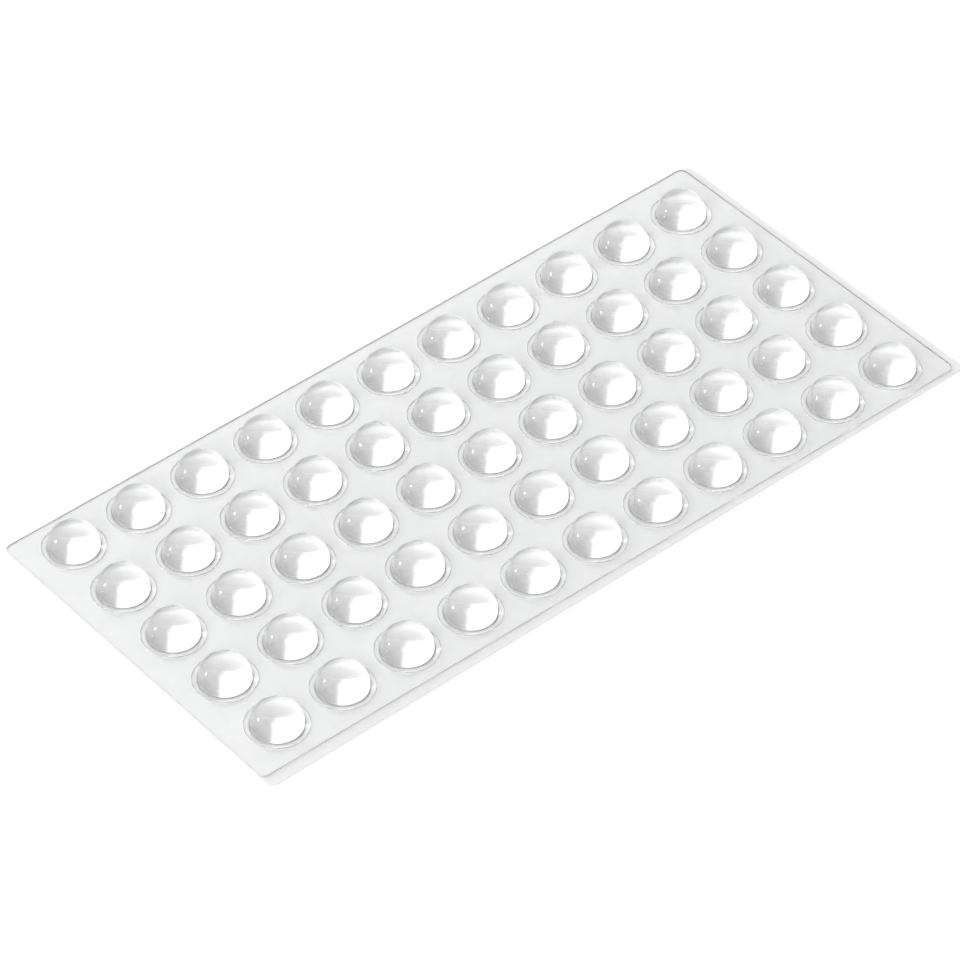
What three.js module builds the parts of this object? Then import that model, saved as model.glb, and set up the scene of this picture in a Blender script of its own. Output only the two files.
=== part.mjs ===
// A sheet of clear self-adhesive cabinet door bumpers, in millimetres, +Z up.
// Five rows of eleven domes are moulded in one clear layer. A circular cut frees each bumper
// from the web around it, and a paper release liner carries them all.
// X runs along the sheet and Y across it. The origin is under the middle of the liner, on its
// back, so the sheet lies on Z = 0. Near means -Y and far means +Y.

import * as THREE from "three";

// Layers
const LINER_THICKNESS = 0.2;
const ADHESIVE_THICKNESS = 0.1;
const FILM_THICKNESS = 0.35;

// Bumper: the lip is the flat edge of the thin flange outside the dome's hollow-curved foot
const DOME_DIAMETER = 8.3;
const FOOT_RADIUS = 0.2;
const LIP_WIDTH = 0.65;

// Grid: the web left between two neighbouring cuts sets how far apart the bumpers stand
const COLUMNS = 11;
const ROWS = 5;
const CUT_WIDTH = 0.1;
const BRIDGE = 2.3;

// Web left outside the outermost cuts. The long sides are trimmed a little askew to the rows.
const WEB_LEFT = 3.6;
const WEB_RIGHT = 3.0;
const WEB_FAR_LEFT = 1.4;
const WEB_FAR_RIGHT = 3.8;
const WEB_NEAR_LEFT = 2.25;
const WEB_NEAR_RIGHT = 1.3;

// How far the liner shows past the web. It is flush on the left and on the far side.
const LINER_RIGHT = 1.5;
const LINER_NEAR_LEFT = 2.0;
const LINER_NEAR_RIGHT = 0.7;

const CORNER_RADIUS = 1.2;

// Faceting
const ROUND_STEPS = 20;
const DOME_STEPS = 6;
const FOOT_STEPS = 1;
const CORNER_STEPS = 3;

// Worked out from the sizes above
const LAYER_THICKNESS = ADHESIVE_THICKNESS + FILM_THICKNESS;
const DOME_RADIUS = DOME_DIAMETER / 2;
const FLANGE_RADIUS = DOME_RADIUS + FOOT_RADIUS + LIP_WIDTH;
const HOLE_RADIUS = FLANGE_RADIUS + CUT_WIDTH;
const PITCH = 2 * HOLE_RADIUS + BRIDGE;

// The centres of the bumpers, with the grid's own middle at (0, 0).
const columnX = (column) => (column - (COLUMNS - 1) / 2) * PITCH;
const rowY = (row) => (row - (ROWS - 1) / 2) * PITCH;

// Points along an arc, both ends included. Angles are in quarter turns from +X.
function arcPoints(centre, radius, from, to, steps) {
  return Array.from({ length: steps + 1 }, (_, step) => {
    const angle = THREE.MathUtils.lerp(from, to, step / steps) * (Math.PI / 2);
    return new THREE.Vector2(
      centre.x + radius * Math.cos(angle),
      centre.y + radius * Math.sin(angle),
    );
  });
}

// One bumper: adhesive, thin flange, hollow-curved foot and a half-round dome, turned about Z.
function bumperGeometry() {
  const shoulder = LAYER_THICKNESS + FOOT_RADIUS;
  const footCentre = new THREE.Vector2(DOME_RADIUS + FOOT_RADIUS, shoulder);
  const domeCentre = new THREE.Vector2(0, shoulder);
  const profile = [
    new THREE.Vector2(0, 0),
    new THREE.Vector2(FLANGE_RADIUS, 0),
    new THREE.Vector2(FLANGE_RADIUS, LAYER_THICKNESS),
    ...arcPoints(footCentre, FOOT_RADIUS, -1, -2, FOOT_STEPS),
    ...arcPoints(domeCentre, DOME_RADIUS, 0, 1, DOME_STEPS).slice(1, -1),
    new THREE.Vector2(0, shoulder + DOME_RADIUS),
  ];
  return new THREE.LatheGeometry(profile, ROUND_STEPS).rotateX(Math.PI / 2);
}

// A point on the way from one corner to another, a given distance along.
function along(from, to, distance) {
  return to.clone().sub(from).setLength(distance).add(from);
}

// A closed outline through the corners, each one rounded off.
function roundedOutline(corners) {
  const outline = new THREE.Shape();
  corners.forEach((corner, index) => {
    const start = along(corner, corners.at(index - 1), CORNER_RADIUS);
    const end = along(corner, corners[(index + 1) % corners.length], CORNER_RADIUS);
    if (index === 0) outline.moveTo(start.x, start.y);
    else outline.lineTo(start.x, start.y);
    outline.quadraticCurveTo(corner.x, corner.y, end.x, end.y);
  });
  return outline.closePath();
}

// The sheet's corners from the near left one, counter-clockwise. The margins are measured from
// the centres of the outermost bumpers.
function sheetCorners(margin) {
  const left = columnX(0) - margin.left;
  const right = columnX(COLUMNS - 1) + margin.right;
  return [
    new THREE.Vector2(left, rowY(0) - margin.nearLeft),
    new THREE.Vector2(right, rowY(0) - margin.nearRight),
    new THREE.Vector2(right, rowY(ROWS - 1) + margin.farRight),
    new THREE.Vector2(left, rowY(ROWS - 1) + margin.farLeft),
  ];
}

const webMargin = {
  left: HOLE_RADIUS + WEB_LEFT,
  right: HOLE_RADIUS + WEB_RIGHT,
  nearLeft: HOLE_RADIUS + WEB_NEAR_LEFT,
  nearRight: HOLE_RADIUS + WEB_NEAR_RIGHT,
  farLeft: HOLE_RADIUS + WEB_FAR_LEFT,
  farRight: HOLE_RADIUS + WEB_FAR_RIGHT,
};

const linerMargin = {
  ...webMargin,
  right: webMargin.right + LINER_RIGHT,
  nearLeft: webMargin.nearLeft + LINER_NEAR_LEFT,
  nearRight: webMargin.nearRight + LINER_NEAR_RIGHT,
};

function extruded(outline, depth) {
  return new THREE.ExtrudeGeometry(outline, {
    depth,
    bevelEnabled: false,
    curveSegments: CORNER_STEPS,
  });
}

// The clear web that is left between the bumpers, with a round hole for each of them.
function webGeometry() {
  const outline = roundedOutline(sheetCorners(webMargin));
  for (let row = 0; row < ROWS; row += 1) {
    for (let column = 0; column < COLUMNS; column += 1) {
      const centre = new THREE.Vector2(columnX(column), rowY(row));
      const rim = arcPoints(centre, HOLE_RADIUS, 0, 4, ROUND_STEPS).slice(0, -1);
      outline.holes.push(new THREE.Path(rim));
    }
  }
  return extruded(outline, LAYER_THICKNESS);
}

function clearPolyurethane() {
  return new THREE.MeshStandardMaterial({
    color: 0xf1f4f2,
    roughness: 0.08,
    metalness: 0,
    transparent: true,
    opacity: 0.4,
  });
}

function releasePaper() {
  return new THREE.MeshStandardMaterial({ color: 0xececea, roughness: 0.55, metalness: 0 });
}

const sheet = new THREE.Group();

function addPiece(name, geometry, material, x, y, z) {
  const piece = new THREE.Mesh(geometry, material);
  piece.name = name;
  piece.position.set(x, y, z);
  sheet.add(piece);
}

const linerOutline = roundedOutline(sheetCorners(linerMargin));
addPiece("release_liner", extruded(linerOutline, LINER_THICKNESS), releasePaper(), 0, 0, 0);
addPiece("clear_web", webGeometry(), clearPolyurethane(), 0, 0, LINER_THICKNESS);

const bumper = bumperGeometry();
for (let row = 0; row < ROWS; row += 1) {
  for (let column = 0; column < COLUMNS; column += 1) {
    const name = `bumper_row${row + 1}_${String(column + 1).padStart(2, "0")}`;
    addPiece(name, bumper, clearPolyurethane(), columnX(column), rowY(row), LINER_THICKNESS);
  }
}

// The trimmed sides aren't centred on the grid, so the whole sheet moves to centre the liner.
const middle = new THREE.Vector2();
new THREE.Box2().setFromPoints(linerOutline.getPoints(CORNER_STEPS)).getCenter(middle);
sheet.position.set(-middle.x, -middle.y, 0);

export default sheet;
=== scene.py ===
"""A sheet of clear stick-on cabinet door bumpers, modelled and lit for its portrait.

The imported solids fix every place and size. Each one is replaced by a finer piece of the same
form: smooth bumpers, the clear web that was left when they were cut free, and the release liner
under them. Lengths are in metres.
"""

from __future__ import annotations

import logging
import math
from collections.abc import Callable, Iterator
from contextlib import contextmanager
from dataclasses import dataclass
from enum import Enum

import bmesh
import bpy
from mathutils import Euler, Matrix, Vector


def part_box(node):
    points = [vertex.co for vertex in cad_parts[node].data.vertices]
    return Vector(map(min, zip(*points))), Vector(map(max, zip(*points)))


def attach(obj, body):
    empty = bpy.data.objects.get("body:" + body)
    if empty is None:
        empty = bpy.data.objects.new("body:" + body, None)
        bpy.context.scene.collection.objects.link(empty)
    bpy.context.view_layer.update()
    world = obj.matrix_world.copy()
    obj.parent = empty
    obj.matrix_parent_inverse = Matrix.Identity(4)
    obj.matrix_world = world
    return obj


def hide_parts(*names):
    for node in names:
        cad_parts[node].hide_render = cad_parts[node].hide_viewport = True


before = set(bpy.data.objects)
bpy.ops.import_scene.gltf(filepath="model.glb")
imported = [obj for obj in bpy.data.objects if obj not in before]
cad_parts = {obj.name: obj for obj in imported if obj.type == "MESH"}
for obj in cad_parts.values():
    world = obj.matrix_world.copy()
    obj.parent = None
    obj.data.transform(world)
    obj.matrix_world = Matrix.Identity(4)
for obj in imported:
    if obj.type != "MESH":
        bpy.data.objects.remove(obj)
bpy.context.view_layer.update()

MM = 0.001
# An edge is sharp when its faces turn by more than this.
SHARP = math.radians(40)
# A face is level when the upright share of its normal is more than this.
LEVEL = 0.9999
# Nearly all of a noise lies between these two values.
NOISE_LOW = 0.3
NOISE_HIGH = 0.7
LOG = logging.getLogger("bumper_sheet")


class Slot(Enum):
    """The record's material slots."""

    CLEAR = "clear_polyurethane"
    LINER = "release_liner"


class Part(Enum):
    """The sheet's two carrier layers, by their solids' names."""

    WEB = "clear_web"
    LINER = "release_liner"


def bumper_nodes() -> list[str]:
    """Lists the bumper solids.

    Returns:
        Their names, row by row.
    """
    return sorted(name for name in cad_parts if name.startswith("bumper_"))


def bumper_centres() -> list[Vector]:
    """Lists where the bumpers stand.

    Returns:
        The middle of each bumper solid, seen from above, in the order of their names.
    """
    boxes = [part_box(name) for name in bumper_nodes()]
    return [Vector(((low[0] + high[0]) / 2, (low[1] + high[1]) / 2)) for low, high in boxes]


# Modelling helpers


def deselect_all() -> None:
    """Deselects every object, so that an operator acts only on what is chosen after it."""
    bpy.ops.object.select_all(action="DESELECT")


def activate(obj: bpy.types.Object) -> None:
    """Makes one object the only selected one.

    Args:
        obj: The object to work on.
    """
    deselect_all()
    obj.select_set(True)
    bpy.context.view_layer.objects.active = obj


@contextmanager
def editing(obj: bpy.types.Object, mode: str = "FACE") -> Iterator[None]:
    """Opens an object in edit mode with nothing selected, and closes it afterwards.

    Args:
        obj: The object to edit.
        mode: What is selected: VERT, EDGE or FACE.
    """
    activate(obj)
    bpy.ops.object.mode_set(mode="EDIT")
    bpy.ops.mesh.select_mode(type=mode)
    bpy.ops.mesh.select_all(action="DESELECT")
    yield
    bpy.ops.object.mode_set(mode="OBJECT")


def pick_faces(obj: bpy.types.Object, test: Callable[[bmesh.types.BMFace], bool]) -> None:
    """Selects the faces that pass a test, and only those.

    Args:
        obj: The object in edit mode.
        test: Says whether a face is wanted.
    """
    bpy.ops.mesh.select_all(action="DESELECT")
    mesh = bmesh.from_edit_mesh(obj.data)
    for face in mesh.faces:
        face.select_set(test(face))
    mesh.select_flush(True)
    bmesh.update_edit_mesh(obj.data)


def pick_vertices(obj: bpy.types.Object, test: Callable[[Vector], bool]) -> None:
    """Selects the vertices whose place passes a test, and only those.

    Args:
        obj: The object in edit mode.
        test: Says whether a place is wanted.
    """
    bpy.ops.mesh.select_all(action="DESELECT")
    mesh = bmesh.from_edit_mesh(obj.data)
    for vertex in mesh.verts:
        vertex.select_set(test(vertex.co))
    mesh.select_flush(True)
    bmesh.update_edit_mesh(obj.data)


def settle(obj: bpy.types.Object) -> None:
    """Moves an object's place into its mesh, so that the object sits at the origin.

    Args:
        obj: The object to settle.
    """
    activate(obj)
    bpy.ops.object.transform_apply(location=True, rotation=True, scale=True)


def apply_modifiers(obj: bpy.types.Object) -> None:
    """Applies every modifier of an object, first to last.

    Args:
        obj: The object to finish.
    """
    activate(obj)
    for modifier in list(obj.modifiers):
        bpy.ops.object.modifier_apply(modifier=modifier.name)


# Node groups and finishes


def new_group(name: str, inputs: tuple[str, ...], output: str) -> bpy.types.NodeTree:
    """Makes an empty shader node group, which reads a place and numbers and gives one number.

    Args:
        name: The group's name.
        inputs: Each number's name.
        output: The result's name.

    Returns:
        The group, with its input and output nodes in place.
    """
    tree = bpy.data.node_groups.new(name, "ShaderNodeTree")
    tree.interface.new_socket("Place", in_out="INPUT", socket_type="NodeSocketVector")
    for label in inputs:
        tree.interface.new_socket(label, in_out="INPUT", socket_type="NodeSocketFloat")
    tree.interface.new_socket(output, in_out="OUTPUT", socket_type="NodeSocketFloat")
    tree.nodes.new("NodeGroupInput")
    tree.nodes.new("NodeGroupOutput")
    return tree


@dataclass(frozen=True)
class Noise:
    """Smooth noise of one character, whose scale is read from a socket."""

    detail: float
    roughness: float = 0.5

    def node(
        self,
        tree: bpy.types.NodeTree,
        place: bpy.types.NodeSocket,
        scale: bpy.types.NodeSocket,
    ) -> bpy.types.Node:
        """Adds the noise to a node tree.

        Args:
            tree: The tree to add to.
            place: The coordinates to read.
            scale: How many waves to a metre.

        Returns:
            The noise node.
        """
        node = tree.nodes.new("ShaderNodeTexNoise")
        node.inputs["Detail"].default_value = self.detail
        node.inputs["Roughness"].default_value = self.roughness
        tree.links.new(place, node.inputs["Vector"])
        tree.links.new(scale, node.inputs["Scale"])
        return node


def mottle_group() -> bpy.types.NodeTree:
    """Makes the group for slow, cloudy unevenness, which every finish uses.

    Returns:
        A group that gives Value between the inputs Low and High.
    """
    tree = new_group("cloudy_mottle", ("Scale", "Low", "High"), "Value")
    given, result = tree.nodes["Group Input"], tree.nodes["Group Output"]
    cloud = Noise(detail=4.0, roughness=0.55).node(
        tree, given.outputs["Place"], given.outputs["Scale"]
    )
    spread = tree.nodes.new("ShaderNodeMapRange")
    spread.inputs["From Min"].default_value = NOISE_LOW
    spread.inputs["From Max"].default_value = NOISE_HIGH
    tree.links.new(cloud.outputs["Fac"], spread.inputs["Value"])
    tree.links.new(given.outputs["Low"], spread.inputs["To Min"])
    tree.links.new(given.outputs["High"], spread.inputs["To Max"])
    tree.links.new(spread.outputs["Result"], result.inputs["Value"])
    return tree


def grain_group() -> bpy.types.NodeTree:
    """Makes the group for fine surface grain, used as the height of a bump.

    Returns:
        A group that gives Height from a fine and a coarse grain.
    """
    tree = new_group("fine_grain", ("Fine", "Coarse", "Coarse Share"), "Height")
    given, result = tree.nodes["Group Input"], tree.nodes["Group Output"]
    place = given.outputs["Place"]
    fine = Noise(detail=3.0).node(tree, place, given.outputs["Fine"])
    coarse = Noise(detail=2.0).node(tree, place, given.outputs["Coarse"])
    blend = tree.nodes.new("ShaderNodeMix")
    blend.data_type = "FLOAT"
    tree.links.new(given.outputs["Coarse Share"], blend.inputs["Factor"])
    tree.links.new(fine.outputs["Fac"], blend.inputs["A"])
    tree.links.new(coarse.outputs["Fac"], blend.inputs["B"])
    tree.links.new(blend.outputs["Result"], result.inputs["Height"])
    return tree


@dataclass(frozen=True)
class Mottle:
    """A finish's cloudy unevenness.

    Attributes:
        scale: How many clouds to a metre.
        low: The value in the dark of a cloud.
        high: The value in the light of a cloud.
    """

    scale: float
    low: float = 0.0
    high: float = 1.0


@dataclass(frozen=True)
class Grain:
    """A finish's surface grain.

    Attributes:
        fine: How many fine grains to a metre.
        coarse: How many coarse grains to a metre.
        coarse_share: How much of the height is the coarse grain.
        depth: The height from trough to crest, in metres.
    """

    fine: float
    coarse: float
    coarse_share: float
    depth: float


class Workshop:
    """Builds materials from the shared node groups."""

    def __init__(self) -> None:
        """Builds each shared group once."""
        self.mottle = mottle_group()
        self.grain = grain_group()

    def start(self, name: str) -> tuple[bpy.types.Material, bpy.types.Node, bpy.types.NodeSocket]:
        """Starts a material with one Principled shader.

        Args:
            name: The material's name.

        Returns:
            The material, its shader and the object coordinates.
        """
        material = bpy.data.materials.new(name)
        material.use_nodes = True
        shader = material.node_tree.nodes["Principled BSDF"]
        place = material.node_tree.nodes.new("ShaderNodeTexCoord")
        return material, shader, place.outputs["Object"]

    def place_mottle(
        self, tree: bpy.types.NodeTree, place: bpy.types.NodeSocket, mottle: Mottle
    ) -> bpy.types.NodeSocket:
        """Adds the mottle group to a material.

        Args:
            tree: The material's tree.
            place: The coordinates to read.
            mottle: The clouds' size and values.

        Returns:
            The value's socket.
        """
        node = tree.nodes.new("ShaderNodeGroup")
        node.node_tree = self.mottle
        tree.links.new(place, node.inputs["Place"])
        node.inputs["Scale"].default_value = mottle.scale
        node.inputs["Low"].default_value = mottle.low
        node.inputs["High"].default_value = mottle.high
        return node.outputs["Value"]

    def place_grain(
        self, tree: bpy.types.NodeTree, place: bpy.types.NodeSocket, grain: Grain
    ) -> bpy.types.NodeSocket:
        """Adds the grain group and a bump node to a material.

        Args:
            tree: The material's tree.
            place: The coordinates to read.
            grain: The grains' sizes and depth.

        Returns:
            The normal's socket.
        """
        node = tree.nodes.new("ShaderNodeGroup")
        node.node_tree = self.grain
        tree.links.new(place, node.inputs["Place"])
        node.inputs["Fine"].default_value = grain.fine
        node.inputs["Coarse"].default_value = grain.coarse
        node.inputs["Coarse Share"].default_value = grain.coarse_share
        bump = tree.nodes.new("ShaderNodeBump")
        bump.inputs["Strength"].default_value = 1.0
        bump.inputs["Distance"].default_value = grain.depth
        tree.links.new(node.outputs["Height"], bump.inputs["Height"])
        return bump.outputs["Normal"]

    @staticmethod
    def between(
        tree: bpy.types.NodeTree,
        factor: bpy.types.NodeSocket,
        first: tuple[float, float, float],
        second: tuple[float, float, float],
    ) -> bpy.types.NodeSocket:
        """Mixes two colours by a factor.

        Args:
            tree: The material's tree.
            factor: The share of the second colour.
            first: The colour at 0.
            second: The colour at 1.

        Returns:
            The mixed colour's socket.
        """
        mix = tree.nodes.new("ShaderNodeMix")
        mix.data_type = "RGBA"
        tree.links.new(factor, mix.inputs["Factor"])
        mix.inputs["A"].default_value = (*first, 1.0)
        mix.inputs["B"].default_value = (*second, 1.0)
        return mix.outputs["Result"]


@dataclass(frozen=True)
class ClearPolyurethane:
    """Water-clear soft polyurethane.

    Attributes:
        touch: How its roughness goes from smooth to handled.
        ripple: Its faint waves.
        clarity: How much of the light passes, and isn't scattered back at the surface.
    """

    name: str
    touch: Mottle
    ripple: Grain
    clarity: float = 1.0
    refraction: float = 1.5
    haze: Mottle = Mottle(260.0)
    clearest: tuple[float, float, float] = (1.0, 1.0, 1.0)
    cloudiest: tuple[float, float, float] = (0.985, 0.99, 0.988)

    def build(self, shop: Workshop) -> bpy.types.Material:
        """Builds the material.

        Args:
            shop: The shared groups.

        Returns:
            The finished material.
        """
        material, shader, place = shop.start(self.name)
        tree = material.node_tree
        shader.inputs["Transmission Weight"].default_value = self.clarity
        shader.inputs["IOR"].default_value = self.refraction
        haze = shop.place_mottle(tree, place, self.haze)
        tint = shop.between(tree, haze, self.clearest, self.cloudiest)
        tree.links.new(tint, shader.inputs["Base Color"])
        touch = shop.place_mottle(tree, place, self.touch)
        tree.links.new(touch, shader.inputs["Roughness"])
        normal = shop.place_grain(tree, place, self.ripple)
        tree.links.new(normal, shader.inputs["Normal"])
        return material


@dataclass(frozen=True)
class ReleasePaper:
    """Smooth white paper with a thin silicone coat."""

    name: str = "release_paper"
    pale: tuple[float, float, float] = (0.845, 0.85, 0.847)
    fibre: tuple[float, float, float] = (0.815, 0.82, 0.818)
    cloud: Mottle = Mottle(700.0)
    gloss: Mottle = Mottle(300.0, low=0.42, high=0.55)
    tooth: Grain = Grain(fine=6000.0, coarse=900.0, coarse_share=0.35, depth=0.01 * MM)
    shine: float = 0.3

    def build(self, shop: Workshop) -> bpy.types.Material:
        """Builds the material.

        Args:
            shop: The shared groups.

        Returns:
            The finished material.
        """
        material, shader, place = shop.start(self.name)
        tree = material.node_tree
        shader.inputs["Specular IOR Level"].default_value = self.shine
        cloud = shop.place_mottle(tree, place, self.cloud)
        tone = shop.between(tree, cloud, self.pale, self.fibre)
        tree.links.new(tone, shader.inputs["Base Color"])
        gloss = shop.place_mottle(tree, place, self.gloss)
        tree.links.new(gloss, shader.inputs["Roughness"])
        normal = shop.place_grain(tree, place, self.tooth)
        tree.links.new(normal, shader.inputs["Normal"])
        return material


@dataclass(frozen=True)
class TableTop:
    """The white sweep under the sheet, which keeps the sheet's shadow.

    Attributes:
        glow: How much of the table's look is plain white, whether it is seen straight, mirrored
            or through the clear layer. It gives no diffuse light.
    """

    name: str = "white_sweep"
    dull: tuple[float, float, float] = (0.96, 0.96, 0.96)
    pale: tuple[float, float, float] = (0.98, 0.98, 0.98)
    cloud: Mottle = Mottle(30.0)
    roughness: float = 0.9
    shine: float = 0.1
    glow: float = 0.65

    def build(self, shop: Workshop) -> bpy.types.Material:
        """Builds the material.

        Args:
            shop: The shared groups.

        Returns:
            The finished material.
        """
        material, shader, place = shop.start(self.name)
        tree = material.node_tree
        cloud = shop.place_mottle(tree, place, self.cloud)
        tone = shop.between(tree, cloud, self.dull, self.pale)
        tree.links.new(tone, shader.inputs["Base Color"])
        shader.inputs["Roughness"].default_value = self.roughness
        shader.inputs["Specular IOR Level"].default_value = self.shine
        white = tree.nodes.new("ShaderNodeEmission")
        blend = tree.nodes.new("ShaderNodeMixShader")
        tree.links.new(self.glow_share(tree), blend.inputs["Fac"])
        tree.links.new(shader.outputs["BSDF"], blend.inputs[1])
        tree.links.new(white.outputs["Emission"], blend.inputs[2])
        output = tree.nodes["Material Output"]
        tree.links.new(blend.outputs["Shader"], output.inputs["Surface"])
        return material

    def glow_share(self, tree: bpy.types.NodeTree) -> bpy.types.NodeSocket:
        """Works out the glow's share for each kind of ray.

        Args:
            tree: The material's tree.

        Returns:
            The share's socket: the glow where the table is seen, and nothing for other rays.
        """
        path = tree.nodes.new("ShaderNodeLightPath")
        seen = path.outputs["Is Camera Ray"]
        for label in ("Is Glossy Ray", "Is Transmission Ray"):
            either = tree.nodes.new("ShaderNodeMath")
            either.operation = "MAXIMUM"
            tree.links.new(seen, either.inputs[0])
            tree.links.new(path.outputs[label], either.inputs[1])
            seen = either.outputs["Value"]
        share = tree.nodes.new("ShaderNodeMath")
        share.operation = "MULTIPLY"
        share.inputs[1].default_value = self.glow
        tree.links.new(seen, share.inputs[0])
        return share.outputs["Value"]


# The object


def dress(piece: bpy.types.Object, node: str) -> None:
    """Hangs a piece on the root body and hides the solid that it stands for.

    Args:
        piece: The finished piece.
        node: The solid's name.
    """
    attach(piece, "root")
    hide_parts(node)
    LOG.info("%s: %d faces, stands for %s", piece.name, len(piece.data.polygons), node)


@dataclass
class Bumper:
    """One bumper: a thin round flange, a hollow-curved foot and a half-round dome.

    Attributes:
        lip_width: The flange's flat part, outside the foot.
        layer: The flange's height with its adhesive.
        seat: The height of the liner's upper side.
        air: The gap under the bumper, which makes its base mirror what the dome shows it.
        edge_round: How far back the flange's upper edge is rounded.
    """

    material: bpy.types.Material
    dome_radius: float = 4.15 * MM
    foot_radius: float = 0.2 * MM
    lip_width: float = 0.69 * MM
    layer: float = 0.45 * MM
    seat: float = 0.2 * MM
    air: float = 0.01 * MM
    edge_round: float = 0.02 * MM
    sides: int = 72
    round_steps: int = 3
    foot_steps: int = 6
    dome_steps: int = 20

    def profile(self) -> list[tuple[float, float]]:
        """Lists the foot's and dome's rings, as radius and height, from the film up.

        Returns:
            The rings, without the pole.
        """
        film = self.seat + self.layer
        shoulder = film + self.foot_radius
        foot_centre = self.dome_radius + self.foot_radius
        rings = []
        for step in range(1, self.foot_steps + 1):
            turn = math.radians(90 * step / self.foot_steps)
            radius = foot_centre - self.foot_radius * math.sin(turn)
            rings.append((radius, shoulder - self.foot_radius * math.cos(turn)))
        for step in range(1, self.dome_steps):
            turn = math.radians(90 * step / self.dome_steps)
            radius = self.dome_radius * math.cos(turn)
            rings.append((radius, shoulder + self.dome_radius * math.sin(turn)))
        return rings

    def model(self) -> bpy.types.Object:
        """Models the bumper on the sheet's middle axis.

        Returns:
            The bumper, as one closed mesh.
        """
        film = self.seat + self.layer
        bottom = self.seat + self.air
        flange = self.dome_radius + self.foot_radius + self.lip_width
        deselect_all()
        bpy.ops.mesh.primitive_cylinder_add(
            vertices=self.sides,
            radius=flange,
            depth=film - bottom,
            location=(0, 0, (film + bottom) / 2),
        )
        bumper = bpy.context.object
        settle(bumper)
        with editing(bumper):
            pick_faces(bumper, lambda face: face.normal.z > LEVEL)
            bpy.ops.mesh.region_to_loop()
            bpy.ops.mesh.bevel(offset=self.edge_round, segments=self.round_steps, affect="EDGES")
            pick_faces(bumper, lambda face: face.normal.z > LEVEL)
            bpy.ops.mesh.inset(thickness=self.lip_width - self.edge_round)
            radius, height = self.dome_radius + self.foot_radius, film
            for next_radius, next_height in self.profile():
                self.raise_ring(radius, height, next_radius, next_height)
                radius, height = next_radius, next_height
            crown = film + self.foot_radius + self.dome_radius
            pole_radius = 0.05 * radius
            self.raise_ring(radius, height, pole_radius, crown)
            bpy.ops.mesh.merge(type="CENTER")
        smooth_rounds(bumper)
        bumper.data.materials.append(self.material)
        return bumper

    @staticmethod
    def raise_ring(radius: float, height: float, next_radius: float, next_height: float) -> None:
        """Extrudes the selected top face up to the next ring and sizes it.

        Args:
            radius: The top face's radius.
            height: The top face's height.
            next_radius: The next ring's radius.
            next_height: The next ring's height.
        """
        bpy.ops.mesh.extrude_region_move(
            TRANSFORM_OT_translate={"value": (0, 0, next_height - height)}
        )
        share = next_radius / radius
        bpy.ops.transform.resize(
            value=(share, share, 1), center_override=(0, 0, next_height)
        )

    def build(self) -> list[bpy.types.Object]:
        """Models one bumper and sets a copy of it in place of each bumper solid.

        Returns:
            The bumpers.
        """
        pattern = self.model()
        bumpers = []
        for name, centre in zip(bumper_nodes(), bumper_centres()):
            copy = pattern.copy()
            copy.data = pattern.data.copy()
            copy.data.transform(Matrix.Translation((*centre, 0)))
            copy.name = f"clear_{name}"
            bpy.context.collection.objects.link(copy)
            dress(copy, name)
            bumpers.append(copy)
        bpy.data.objects.remove(pattern)
        return bumpers


@dataclass
class SheetOutline:
    """The trimmed outline of a layer, as margins from the outermost bumpers' centres.

    Attributes:
        start_size: The side of the small square whose corners are drawn out to the outline's.
    """

    left: float
    right: float
    near_left: float
    near_right: float
    far_left: float
    far_right: float
    corner: float = 1.2 * MM
    corner_steps: int = 6
    start_size: float = 10 * MM

    def corners(self) -> list[Vector]:
        """Works out the four corners from the bumpers' places.

        Returns:
            The corners, from the near left one, counter-clockwise.
        """
        centres = bumper_centres()
        left = min(centre.x for centre in centres) - self.left
        right = max(centre.x for centre in centres) + self.right
        near = min(centre.y for centre in centres)
        far = max(centre.y for centre in centres)
        return [
            Vector((left, near - self.near_left)),
            Vector((right, near - self.near_right)),
            Vector((right, far + self.far_right)),
            Vector((left, far + self.far_left)),
        ]

    def plate(self, bottom: float, top: float) -> bpy.types.Object:
        """Models a flat plate with this outline and round corners.

        Args:
            bottom: The height of its underside.
            top: The height of its upper side.

        Returns:
            The plate.
        """
        corners = self.corners()
        middle = sum(corners, Vector((0, 0))) / len(corners)
        half = self.start_size / 2
        deselect_all()
        bpy.ops.mesh.primitive_plane_add(size=self.start_size, location=(*middle, bottom))
        plate = bpy.context.object
        settle(plate)
        with editing(plate, "VERT"):
            for corner in corners:
                side = corner - middle
                start = middle + Vector((math.copysign(half, side.x), math.copysign(half, side.y)))
                pick_vertices(plate, lambda place, start=start: (place.xy - start).length < half)
                bpy.ops.transform.translate(value=(*(corner - start), 0))
            bpy.ops.mesh.select_all(action="SELECT")
            bpy.ops.mesh.bevel(offset=self.corner, segments=self.corner_steps, affect="VERTICES")
            bpy.ops.mesh.select_all(action="SELECT")
            bpy.ops.mesh.extrude_region_move(
                TRANSFORM_OT_translate={"value": (0, 0, top - bottom)}
            )
            bpy.ops.mesh.select_all(action="SELECT")
            bpy.ops.mesh.normals_make_consistent(inside=False)
        return plate


def smooth_rounds(piece: bpy.types.Object) -> None:
    """Shades a piece smooth on its rounds and keeps its level faces flat.

    Args:
        piece: The piece to shade.
    """
    activate(piece)
    bpy.ops.object.shade_smooth_by_angle(angle=SHARP)
    with editing(piece):
        pick_faces(piece, lambda face: abs(face.normal.z) > LEVEL)
        bpy.ops.mesh.faces_shade_flat()


def ease_edges(piece: bpy.types.Object, width: float, segments: int = 2) -> None:
    """Rounds off a piece's sharp edges a little and shades it smooth.

    Args:
        piece: The piece to finish.
        width: How far back each edge is taken.
        segments: How many faces the round has.
    """
    bevel = piece.modifiers.new("eased_edges", "BEVEL")
    bevel.width = width
    bevel.segments = segments
    bevel.limit_method = "ANGLE"
    bevel.angle_limit = SHARP
    apply_modifiers(piece)
    smooth_rounds(piece)


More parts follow.
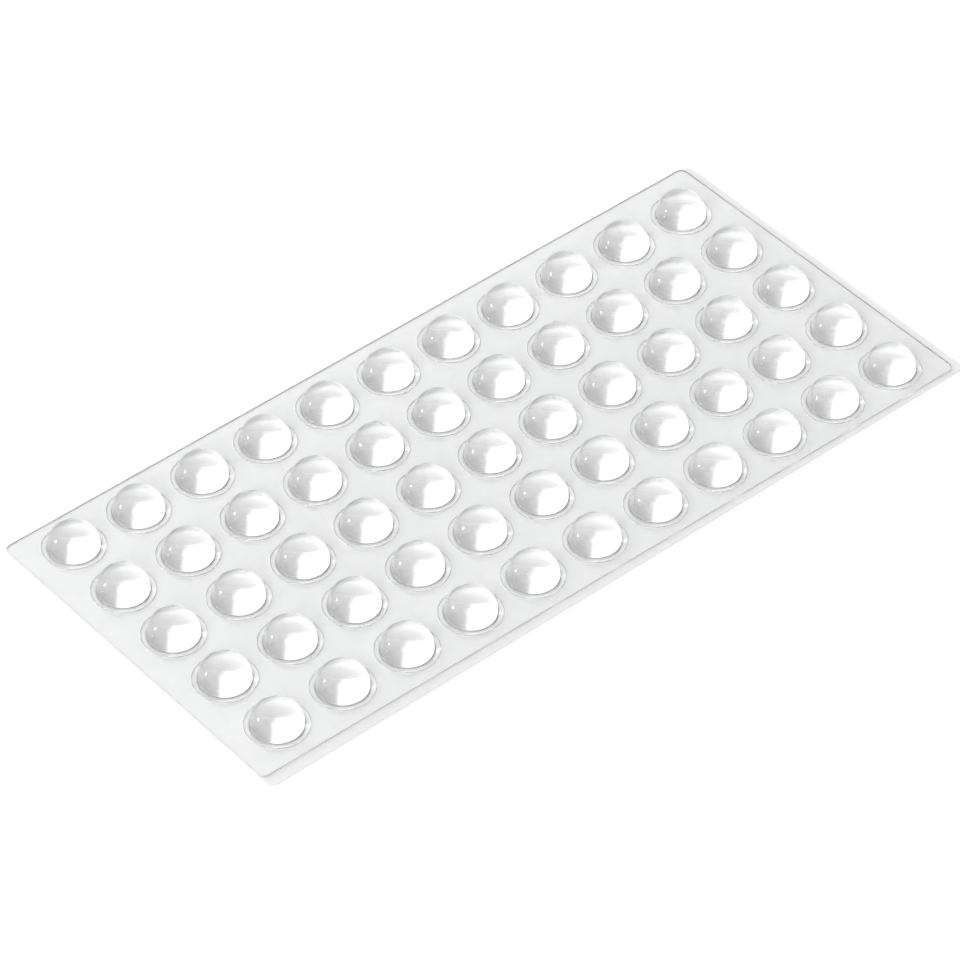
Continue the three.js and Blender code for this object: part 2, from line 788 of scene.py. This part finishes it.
@dataclass
class ClearWeb:
    """The clear layer left round the bumpers, with a round hole for each of them.

    Attributes:
        material: The finish of the web.
        trimmed: The duller finish of its outer sides.
        rim_radius: No part of a hole's wall is farther from the hole's centre.
    """

    material: bpy.types.Material
    trimmed: bpy.types.Material
    outline: SheetOutline
    hole_radius: float = 5.06 * MM
    rim_radius: float = 5.16 * MM
    top: float = 0.65 * MM
    bottom: float = 0.21 * MM
    edge_round: float = 0.02 * MM
    sides: int = 72

    def punch(self) -> bpy.types.Object:
        """Models the punch, one round post at each bumper.

        Returns:
            The posts, joined in one object.
        """
        posts = []
        for centre in bumper_centres():
            deselect_all()
            bpy.ops.mesh.primitive_cylinder_add(
                vertices=self.sides,
                radius=self.hole_radius,
                depth=4 * self.top,
                location=(*centre, self.top / 2),
            )
            posts.append(bpy.context.object)
        deselect_all()
        for post in posts:
            post.select_set(True)
        bpy.context.view_layer.objects.active = posts[0]
        bpy.ops.object.join()
        return bpy.context.object

    def finish_sides(self, web: bpy.types.Object) -> None:
        """Gives the web its finish, and the duller one to its trimmed outer sides.

        Args:
            web: The web.
        """
        web.data.materials.append(self.material)
        web.data.materials.append(self.trimmed)
        centres = bumper_centres()
        for face in web.data.polygons:
            if abs(face.normal.z) < LEVEL:
                nearest = min((face.center.xy - centre).length for centre in centres)
                face.material_index = int(nearest > self.rim_radius)

    def build(self) -> bpy.types.Object:
        """Models the web and sets it in place of its solid.

        Returns:
            The web.
        """
        web = self.outline.plate(self.bottom, self.top)
        punch = self.punch()
        cut = web.modifiers.new("punched_holes", "BOOLEAN")
        cut.operation = "DIFFERENCE"
        cut.solver = "EXACT"
        cut.object = punch
        apply_modifiers(web)
        bpy.data.objects.remove(punch)
        ease_edges(web, self.edge_round)
        self.finish_sides(web)
        web.name = "clear_web_film"
        dress(web, Part.WEB.value)
        return web


@dataclass
class ReleaseLiner:
    """The paper that carries the sheet."""

    material: bpy.types.Material
    outline: SheetOutline
    thickness: float = 0.2 * MM
    edge_round: float = 0.03 * MM

    def build(self) -> bpy.types.Object:
        """Models the liner and sets it in place of its solid.

        Returns:
            The liner.
        """
        liner = self.outline.plate(0.0, self.thickness)
        ease_edges(liner, self.edge_round)
        liner.name = "release_liner_paper"
        liner.data.materials.append(self.material)
        dress(liner, Part.LINER.value)
        return liner


# The studio


@dataclass(frozen=True)
class Softbox:
    """A square lamp that faces the sheet.

    Attributes:
        toward: Its direction, seen from the sheet.
    """

    name: str
    toward: tuple[float, float, float]
    distance: float
    size: float
    watts: float

    def build(self) -> bpy.types.Object:
        """Makes the lamp and turns it to the sheet.

        Returns:
            The lamp.
        """
        light = bpy.data.lights.new(self.name, "AREA")
        light.shape = "SQUARE"
        light.size = self.size
        light.energy = self.watts
        lamp = bpy.data.objects.new(self.name, light)
        bpy.context.collection.objects.link(lamp)
        direction = Vector(self.toward).normalized()
        lamp.location = direction * self.distance
        lamp.rotation_euler = direction.to_track_quat("Z", "Y").to_euler()
        return lamp


@dataclass(frozen=True)
class PortraitCamera:
    """The camera, where the photograph was taken from.

    Attributes:
        eye: Its place, from the middle of the grid of bumpers.
        tilt: How far it looks up from straight down.
        roll: How far it leans to one side.
        heading: How far it is turned about the upright axis.
        nearest: Nothing nearer is seen.
        farthest: Nothing farther is seen.
    """

    eye: tuple[float, float, float] = (-397.19 * MM, -460.6 * MM, 552.6 * MM)
    tilt: float = math.radians(47.5009)
    roll: float = math.radians(-0.4678)
    heading: float = math.radians(-40.2006)
    lens: float = 196.79
    sensor: float = 36.0
    nearest: float = 0.01
    farthest: float = 20.0

    def build(self) -> bpy.types.Object:
        """Sets up the camera and makes it the scene's.

        Returns:
            The camera.
        """
        data = bpy.data.cameras.new("portrait_camera")
        data.lens = self.lens
        data.sensor_width = self.sensor
        data.clip_start = self.nearest
        data.clip_end = self.farthest
        camera = bpy.data.objects.new("portrait_camera", data)
        bpy.context.collection.objects.link(camera)
        centres = bumper_centres()
        shift = sum(centres, Vector((0, 0))) / len(centres)
        place = Vector(self.eye) + Vector((*shift, 0))
        turn = Euler((self.tilt, self.roll, self.heading)).to_matrix().to_4x4()
        camera.matrix_world = Matrix.Translation(place) @ turn
        bpy.context.scene.camera = camera
        return camera


class RoomNodes:
    """Adds to the world's tree the few kinds of node that the room is made of."""

    def __init__(self, tree: bpy.types.NodeTree) -> None:
        """Notes the tree and adds the direction of view to it.

        Args:
            tree: The world's tree.
        """
        self.tree = tree
        self.view = tree.nodes.new("ShaderNodeTexCoord").outputs["Generated"]

    def facing(self, toward: tuple[float, float, float]) -> bpy.types.NodeSocket:
        """Measures how far the direction of view faces another direction.

        Args:
            toward: The other direction, of length 1.

        Returns:
            The cosine of the angle between them.
        """
        node = self.tree.nodes.new("ShaderNodeVectorMath")
        node.operation = "DOT_PRODUCT"
        node.inputs[1].default_value = toward
        self.tree.links.new(self.view, node.inputs[0])
        return node.outputs["Value"]

    def angle(self, cosine: bpy.types.NodeSocket) -> bpy.types.NodeSocket:
        """Turns a cosine into its angle.

        Args:
            cosine: The cosine.

        Returns:
            The angle.
        """
        node = self.tree.nodes.new("ShaderNodeMath")
        node.operation = "ARCCOSINE"
        self.tree.links.new(cosine, node.inputs[0])
        return node.outputs["Value"]

    def eased(
        self,
        value: bpy.types.NodeSocket,
        points: tuple[float, float],
        results: tuple[float, float],
    ) -> bpy.types.NodeSocket:
        """Turns a value into another one, which changes softly between two points.

        Args:
            value: The value to read.
            points: The value where the change begins and where it ends.
            results: The result at each of the two points.

        Returns:
            The result.
        """
        node = self.tree.nodes.new("ShaderNodeMapRange")
        node.interpolation_type = "SMOOTHSTEP"
        labels = ("From Min", "From Max", "To Min", "To Max")
        for label, number in zip(labels, points + results):
            node.inputs[label].default_value = number
        self.tree.links.new(value, node.inputs["Value"])
        return node.outputs["Result"]

    def mixed(
        self, first: bpy.types.NodeSocket, second: float, share: bpy.types.NodeSocket
    ) -> bpy.types.NodeSocket:
        """Mixes a value with a number.

        Args:
            first: The value.
            second: The number.
            share: How much of the result is the number.

        Returns:
            The result.
        """
        node = self.tree.nodes.new("ShaderNodeMix")
        node.data_type = "FLOAT"
        node.inputs["B"].default_value = second
        self.tree.links.new(share, node.inputs["Factor"])
        self.tree.links.new(first, node.inputs["A"])
        return node.outputs["Result"]

    def combined(
        self, operation: str, first: bpy.types.NodeSocket, second: bpy.types.NodeSocket
    ) -> bpy.types.NodeSocket:
        """Combines two values.

        Args:
            operation: ADD or MULTIPLY.
            first: The first value.
            second: The second value.

        Returns:
            The result.
        """
        node = self.tree.nodes.new("ShaderNodeMath")
        node.operation = operation
        self.tree.links.new(first, node.inputs[0])
        self.tree.links.new(second, node.inputs[1])
        return node.outputs["Value"]


@dataclass(frozen=True)
class PaleRoom:
    """The surroundings, which light the sheet and which its domes mirror.

    Attributes:
        bright_toward: The direction of the bright wall. The grey one is all that faces away.
        bright_edge: Where one wall turns into the other, as cosines from that direction.
        ceiling_edge: Where the walls turn into the ceiling, as cosines from straight up.
        dim_share: How much of the light is left in the dim corner.
        dim_edge: Where the dim corner begins and where it is darkest, as cosines.
        window: How bright the window is in its middle.
        window_spread: The angle at which its light has faded out.
    """

    bright_wall: float = 1.36
    grey_wall: float = 0.63
    bright_toward: tuple[float, float, float] = (-0.588, 0.809, 0.0)
    bright_edge: tuple[float, float] = (0.02, 0.22)
    ceiling: float = 0.79
    ceiling_edge: tuple[float, float] = (0.75, 0.95)
    dim_share: float = 0.78
    dim_toward: tuple[float, float, float] = (0.97, 0.17, 0.173)
    dim_edge: tuple[float, float] = (0.78, 0.98)
    window: float = 4.7
    window_toward: tuple[float, float, float] = (-0.687, -0.446, 0.574)
    window_spread: float = math.radians(25)

    def build(self) -> bpy.types.World:
        """Sets up the room as the scene's world.

        Returns:
            The world.
        """
        world = bpy.data.worlds.new("pale_surround")
        world.use_nodes = True
        bpy.context.scene.world = world
        nodes = RoomNodes(world.node_tree)
        side = nodes.facing(self.bright_toward)
        walls = nodes.eased(side, self.bright_edge, (self.grey_wall, self.bright_wall))
        overhead = nodes.eased(nodes.facing((0.0, 0.0, 1.0)), self.ceiling_edge, (0.0, 1.0))
        shell = nodes.mixed(walls, self.ceiling, overhead)
        dim = nodes.eased(nodes.facing(self.dim_toward), self.dim_edge, (1.0, self.dim_share))
        room = nodes.combined("MULTIPLY", shell, dim)
        aim = nodes.angle(nodes.facing(self.window_toward))
        window = nodes.eased(aim, (0.0, self.window_spread), (self.window, 0.0))
        light = nodes.combined("ADD", room, window)
        soft = world.node_tree.nodes["Background"]
        soft.inputs["Color"].default_value = (1.0, 1.0, 1.0, 1.0)
        world.node_tree.links.new(light, soft.inputs["Strength"])
        return world


@dataclass
class Studio:
    """The camera, the pale room, one small lamp for the domes' glint, and the white table.

    Attributes:
        table: The table's finish.
        table_size: The table's width.
        table_drop: How far the table lies under the liner.
    """

    table: bpy.types.Material
    table_size: float = 6.0
    table_drop: float = 0.05 * MM
    camera: PortraitCamera = PortraitCamera()
    room: PaleRoom = PaleRoom()
    glint: Softbox = Softbox(
        "glint_lamp", toward=(-0.755, 0.61, 0.2), distance=1.0, size=0.14, watts=1.2
    )

    def floor(self) -> bpy.types.Object:
        """Lays the white table just under the liner.

        Returns:
            The table.
        """
        deselect_all()
        bpy.ops.mesh.primitive_plane_add(
            size=self.table_size, location=(0, 0, -self.table_drop)
        )
        floor = bpy.context.object
        settle(floor)
        floor.name = "white_table"
        floor.data.materials.append(self.table)
        return floor

    def build(self) -> None:
        """Builds the whole studio."""
        self.camera.build()
        self.room.build()
        self.glint.build()
        self.floor()
        scene = bpy.context.scene
        scene.view_settings.view_transform = "Standard"
        # Blurred bounces would darken what lies under the clear layer.
        scene.cycles.blur_glossy = 0.0


def main() -> None:
    """Builds the sheet and its studio in order."""
    logging.basicConfig(level=logging.INFO, format="%(name)s %(message)s")
    shop = Workshop()
    moulded = ClearPolyurethane(
        "moulded_polyurethane",
        touch=Mottle(420.0, low=0.02, high=0.07),
        ripple=Grain(fine=1500.0, coarse=260.0, coarse_share=0.7, depth=0.002 * MM),
    )
    trimmed = ClearPolyurethane(
        "trimmed_polyurethane",
        touch=Mottle(420.0, low=0.4, high=0.55),
        ripple=Grain(fine=1500.0, coarse=260.0, coarse_share=0.7, depth=0.004 * MM),
        clarity=0.35,
    )
    web_outline = SheetOutline(
        left=8.65 * MM,
        right=8.1 * MM,
        near_left=7.35 * MM,
        near_right=6.4 * MM,
        far_left=6.45 * MM,
        far_right=8.85 * MM,
    )
    liner_outline = SheetOutline(
        left=8.7 * MM,
        right=9.6 * MM,
        near_left=9.35 * MM,
        near_right=7.1 * MM,
        far_left=6.5 * MM,
        far_right=8.9 * MM,
    )
    polyurethane = moulded.build(shop)
    ReleaseLiner(ReleasePaper().build(shop), liner_outline).build()
    ClearWeb(polyurethane, trimmed.build(shop), web_outline).build()
    Bumper(polyurethane).build()
    Studio(TableTop().build(shop)).build()


if __name__ == "__main__":
    main()
